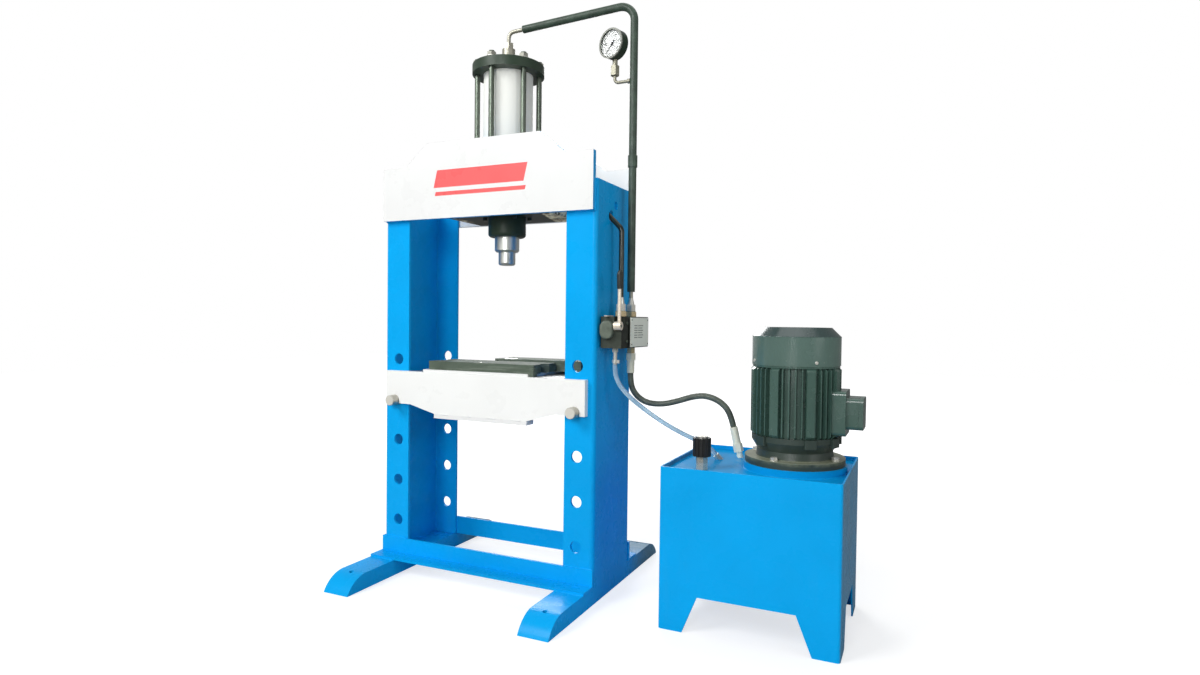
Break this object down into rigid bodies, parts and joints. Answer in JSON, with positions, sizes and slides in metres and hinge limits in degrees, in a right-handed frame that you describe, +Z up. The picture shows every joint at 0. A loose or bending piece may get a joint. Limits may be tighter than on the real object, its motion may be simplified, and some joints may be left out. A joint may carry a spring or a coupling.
{
  "type": "hydraulic press",
  "caption": "H-frame hydraulic press with a ram, a table on pins, a hand-lever valve and a motor-driven power unit beside it.",
  "frame": {"origin": "middle of the machine's footprint on the floor, between the press and its power unit", "axes": "+Z up, +X from the press towards its power unit, the operator stands on the -Y side and faces +Y"},
  "size_m": [1.687, 0.906, 2.0366],
  "materials": {
    "blue_enamel": "satin",
    "white_enamel": "satin",
    "black_enamel": "satin",
    "motor_paint": "satin",
    "bright_steel": "satin",
    "dark_steel": "satin",
    "grey_steel": "satin",
    "cast_housing": "satin",
    "brass": "satin",
    "plate_silver": "satin",
    "black_plastic": "matte",
    "hose_rubber": "satin",
    "clear_hose": "gloss",
    "dial_white": "satin",
    "needle_red": "satin",
    "window_glass": "gloss"
  },
  "bodies": {
    "frame": {"left_column": "blue_enamel", "right_column": "blue_enamel", "left_foot": "blue_enamel", "right_foot": "blue_enamel", "front_base_angle": "blue_enamel", "rear_base_angle": "blue_enamel", "crosshead_front_plate": "white_enamel", "crosshead_rear_plate": "white_enamel", "crosshead_base": "black_enamel", "cylinder_barrel": "white_enamel", "cylinder_top_cap": "black_enamel", "tie_rods": "dark_steel", "tie_rod_nuts": "bright_steel", "cylinder_gland": "black_enamel", "gland_screws": "dark_steel", "pressure_pipe": "bright_steel", "pipe_sleeve": "black_plastic", "lower_cylinder_pipe": "black_enamel", "brass_adapters": "brass", "pipe_nuts": "bright_steel", "gauge_branch": "bright_steel", "gauge_case": "black_enamel", "gauge_bezel": "bright_steel", "gauge_glass": "window_glass", "gauge_dial": "dial_white", "valve_body": "cast_housing", "valve_plate": "plate_silver", "lever_housing": "cast_housing", "tank_body": "blue_enamel", "tank_deck": "blue_enamel", "motor_end_shield": "black_enamel", "motor_frame": "motor_paint", "fan_cover": "motor_paint", "terminal_box": "motor_paint", "flange_bolts": "bright_steel", "bell_housing": "black_enamel", "gear_pump": "dark_steel", "relief_valve_body": "bright_steel", "pressure_hose": "hose_rubber", "drain_hose": "clear_hose", "hose_end_fittings": "bright_steel", "drain_fittings": "bright_steel"},
    "ram": {"ram": "bright_steel"},
    "bed": {"bed_front_plate": "white_enamel", "bed_rear_plate": "white_enamel", "bed_stiffeners": "white_enamel", "bed_deck": "grey_steel", "bed_cover_plate": "white_enamel", "front_press_plate": "dark_steel", "rear_press_plate": "dark_steel"},
    "left_pin": {"left_pin": "bright_steel"},
    "right_pin": {"right_pin": "bright_steel"},
    "lever": {"valve_lever": "bright_steel", "lever_grip": "black_plastic"},
    "spool": {"valve_spool": "bright_steel"},
    "needle": {"gauge_needle": "needle_red"},
    "rotor": {"motor_rotor": "bright_steel", "cooling_fan": "black_plastic", "shaft_coupling": "bright_steel"},
    "knob": {"relief_knob": "black_plastic"}
  },
  "joints": [
    {"name": "ram_slide", "type": "slide", "parent": "frame", "child": "ram", "axis": [0, 0, -1], "range_m": [0, 0.18]},
    {"name": "bed_lift", "type": "slide", "parent": "frame", "child": "bed", "axis": [0, 0, 1], "range_m": [0, 0.15]},
    {"name": "left_pin_slide", "type": "slide", "parent": "frame", "child": "left_pin", "axis": [0, -1, 0], "range_m": [0, 0.3]},
    {"name": "right_pin_slide", "type": "slide", "parent": "frame", "child": "right_pin", "axis": [0, -1, 0], "range_m": [0, 0.3]},
    {"name": "lever_tilt", "type": "hinge", "parent": "frame", "child": "lever", "pos_m": [0.0975, -0.128, 0.918], "axis": [1, 0, 0], "range_deg": [-20, 20], "stiffness_Nm_per_rad": 3},
    {"name": "spool_slide", "type": "slide", "parent": "frame", "child": "spool", "axis": [0, 1, 0], "range_m": [-0.0075, 0.0075]},
    {"name": "needle_turn", "type": "hinge", "parent": "frame", "child": "needle", "pos_m": [-0.0025, 0.05, 1.897], "axis": [-0.2924, -0.9563, 0], "range_deg": [-270, 0], "stiffness_Nm_per_rad": 0.005},
    {"name": "rotor_spin", "type": "hinge", "parent": "frame", "child": "rotor", "pos_m": [0.6405, 0.01, 0.7], "axis": [0, 0, 1], "continuous": true},
    {"name": "knob_turn", "type": "hinge", "parent": "frame", "child": "knob", "pos_m": [0.3875, -0.14, 0.55], "axis": [0, 0, 1], "range_deg": [-720, 720]}
  ],
  "couplings": [
    {"joint": "spool_slide", "follows": "lever_tilt", "m_per_rad": 0.02}
  ]
}
